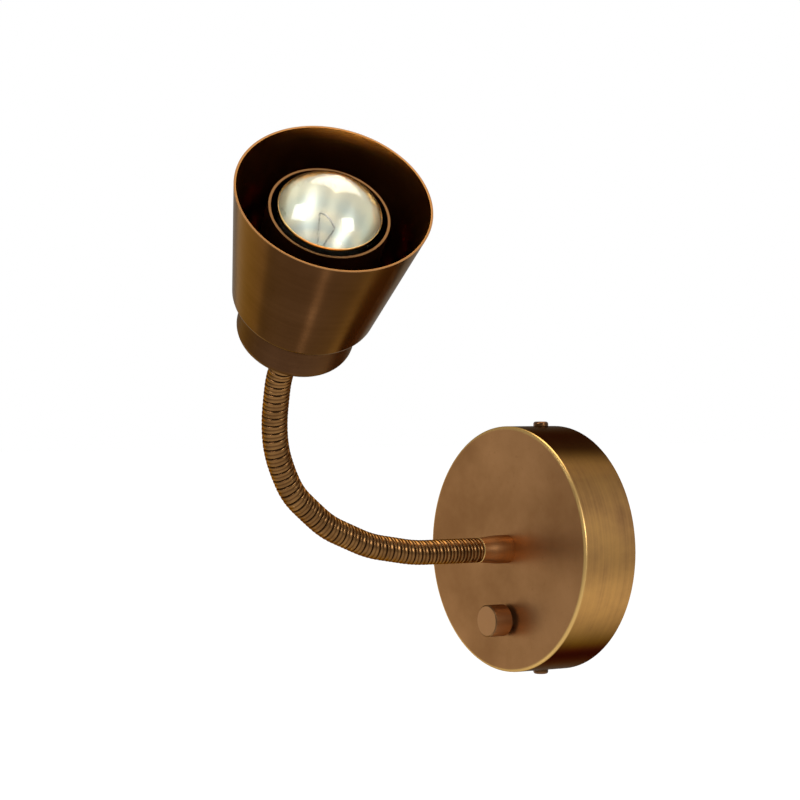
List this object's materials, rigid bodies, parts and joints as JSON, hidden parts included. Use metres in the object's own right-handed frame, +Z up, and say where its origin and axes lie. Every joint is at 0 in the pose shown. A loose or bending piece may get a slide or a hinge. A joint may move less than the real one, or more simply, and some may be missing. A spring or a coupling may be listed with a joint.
{
  "type": "wall lamp",
  "caption": "Bedside wall reading lamp: round rose with a rotary dimmer knob, flexible arm and a conical metal shade round a reflector bulb",
  "frame": {"origin": "centre of the rose at the wall, midway between the two wall screws", "axes": "+Y points into the wall, -Y is the lamp's front, +Z is up, +X is to the right seen from the front"},
  "size_m": [0.2064, 0.2662, 0.2741],
  "materials": {
    "aged_brass": "aged, brushed and lacquered dark",
    "arm_bronze": "dark bronze, satin",
    "zinc_steel": "zinc plated",
    "plain_brass": "plain",
    "white_plastic": "moulded",
    "black_plastic": "moulded",
    "cable_sheath": "matt",
    "lead_brown": "insulated wire",
    "lead_green": "insulated wire",
    "bulb_clear": "clear",
    "bulb_silver": "silvered inside",
    "bulb_cap_metal": "rolled thread",
    "bulb_black_glass": "fused black glass",
    "bulb_wire": "drawn wire"
  },
  "bodies": {
    "wall_base": {"rose_cover": "aged_brass", "wall_bracket": "zinc_steel", "cover_screws": "aged_brass", "cable_bush": "white_plastic", "terminal_block": "white_plastic", "terminal_barrels": "plain_brass", "terminal_screws": "zinc_steel", "earth_screw": "zinc_steel", "earth_tag": "plain_brass", "earth_wire": "lead_green", "arm_nipple": "zinc_steel", "arm_lock_washer": "zinc_steel", "arm_locknut": "zinc_steel", "arm_collar": "aged_brass", "arm_stretch_01": "arm_bronze", "arm_cable": "cable_sheath", "dimmer_module": "black_plastic", "dimmer_bush": "zinc_steel", "dimmer_washer": "zinc_steel", "dimmer_nut": "zinc_steel", "dimmer_leads": "lead_brown"},
    "arm_02": {"arm_stretch_02": "arm_bronze"},
    "arm_03": {"arm_stretch_03": "arm_bronze"},
    "arm_04": {"arm_stretch_04": "arm_bronze"},
    "arm_05": {"arm_stretch_05": "arm_bronze"},
    "arm_06": {"arm_stretch_06": "arm_bronze"},
    "arm_07": {"arm_stretch_07": "arm_bronze"},
    "arm_08": {"arm_stretch_08": "arm_bronze"},
    "arm_09": {"arm_stretch_09": "arm_bronze"},
    "arm_10": {"arm_stretch_10": "arm_bronze"},
    "arm_11": {"arm_stretch_11": "arm_bronze"},
    "arm_12": {"arm_stretch_12": "arm_bronze"},
    "arm_13": {"arm_stretch_13": "arm_bronze"},
    "arm_14": {"arm_stretch_14": "arm_bronze"},
    "arm_15": {"arm_stretch_15": "arm_bronze"},
    "head": {"arm_stretch_16": "arm_bronze", "head_nipple": "zinc_steel", "head_lock_washer": "zinc_steel", "head_locknut": "zinc_steel", "lamp_cup": "aged_brass", "shade": "aged_brass", "lampholder_base": "black_plastic", "lampholder_sleeve": "black_plastic", "lampholder_shell": "plain_brass", "lampholder_contact": "plain_brass", "bulb_glass": "bulb_clear", "bulb_reflector": "bulb_silver", "bulb_cap": "bulb_cap_metal", "bulb_insulator": "bulb_black_glass", "bulb_contact": "bulb_cap_metal", "bulb_stem": "bulb_clear", "bulb_leads": "bulb_wire", "bulb_filament": "bulb_wire"},
    "knob": {"control_knob": "aged_brass", "dimmer_shaft": "zinc_steel"}
  },
  "joints": [
    {"name": "arm_bend_01", "type": "hinge", "parent": "wall_base", "child": "arm_02", "pos_m": [0, -0.0668, 0], "axis": [-1, 0, 0], "range_deg": [-18, 6], "deforming": ["arm_cable"]},
    {"name": "arm_bend_02", "type": "hinge", "parent": "arm_02", "child": "arm_03", "pos_m": [0, -0.0806, 0], "axis": [0, 0, 1], "range_deg": [-18, 6], "deforming": ["arm_cable"]},
    {"name": "arm_bend_03", "type": "hinge", "parent": "arm_03", "child": "arm_04", "pos_m": [-0.00072, -0.09438, 0], "axis": [-0.9986, 0.0523, 0], "range_deg": [-18, 6], "deforming": ["arm_cable"]},
    {"name": "arm_bend_04", "type": "hinge", "parent": "arm_04", "child": "arm_05", "pos_m": [-0.00144, -0.10799, 0.00216], "axis": [0.0082, 0.1562, 0.9877], "range_deg": [-18, 6], "deforming": ["arm_cable"]},
    {"name": "arm_bend_05", "type": "hinge", "parent": "arm_05", "child": "arm_06", "pos_m": [-0.00215, -0.1216, 0.00432], "axis": [-0.9986, 0.0523, 0], "range_deg": [-18, 6], "deforming": ["arm_cable"]},
    {"name": "arm_bend_06", "type": "hinge", "parent": "arm_06", "child": "arm_07", "pos_m": [-0.00282, -0.13438, 0.00949], "axis": [0.0196, 0.3741, 0.9272], "range_deg": [-18, 6], "deforming": ["arm_cable"]},
    {"name": "arm_bend_07", "type": "hinge", "parent": "arm_07", "child": "arm_08", "pos_m": [-0.00301, -0.14718, 0.01465], "axis": [-0.9997, 0.02, 0.0131], "range_deg": [-18, 6], "deforming": ["arm_cable"]},
    {"name": "arm_bend_08", "type": "hinge", "parent": "arm_08", "child": "arm_09", "pos_m": [-0.00311, -0.15805, 0.02315], "axis": [0.0226, 0.6152, 0.7881], "range_deg": [-18, 6], "deforming": ["arm_cable"]},
    {"name": "arm_bend_09", "type": "hinge", "parent": "arm_09", "child": "arm_10", "pos_m": [-0.00178, -0.1689, 0.03157], "axis": [-0.995, -0.0625, 0.0773], "range_deg": [-18, 3], "deforming": ["arm_cable"]},
    {"name": "arm_bend_10", "type": "hinge", "parent": "arm_10", "child": "arm_11", "pos_m": [-0.00042, -0.17598, 0.04334], "axis": [-0.0136, 0.856, 0.5169], "range_deg": [-18, 6], "deforming": ["arm_cable"]},
    {"name": "arm_bend_11", "type": "hinge", "parent": "arm_11", "child": "arm_12", "pos_m": [0.00377, -0.18273, 0.05463], "axis": [-0.9528, -0.1678, 0.2529], "range_deg": [-18, 6], "deforming": ["arm_cable"]},
    {"name": "arm_bend_12", "type": "hinge", "parent": "arm_12", "child": "arm_13", "pos_m": [0.00778, -0.18642, 0.0673], "axis": [-0.0865, 0.9488, 0.3037], "range_deg": [-18, 6], "deforming": ["arm_cable"]},
    {"name": "arm_bend_13", "type": "hinge", "parent": "arm_13", "child": "arm_14", "pos_m": [0.01423, -0.1896, 0.07908], "axis": [-0.8798, -0.2158, 0.4235], "range_deg": [-18, 6], "deforming": ["arm_cable"]},
    {"name": "arm_bend_14", "type": "hinge", "parent": "arm_14", "child": "arm_15", "pos_m": [0.02061, -0.19209, 0.09106], "axis": [-0.1109, 0.9596, 0.2586], "range_deg": [-18, 6], "deforming": ["arm_cable"]},
    {"name": "arm_bend_15", "type": "hinge", "parent": "arm_15", "child": "head", "pos_m": [0.03043, -0.19354, 0.10065], "axis": [-0.6939, -0.261, 0.6711], "range_deg": [-15, 6], "deforming": ["arm_cable"]},
    {"name": "knob_turn", "type": "hinge", "parent": "wall_base", "child": "knob", "pos_m": [0, -0.034, -0.0375], "axis": [0, -1, 0], "range_deg": [-270, 0]}
  ]
}
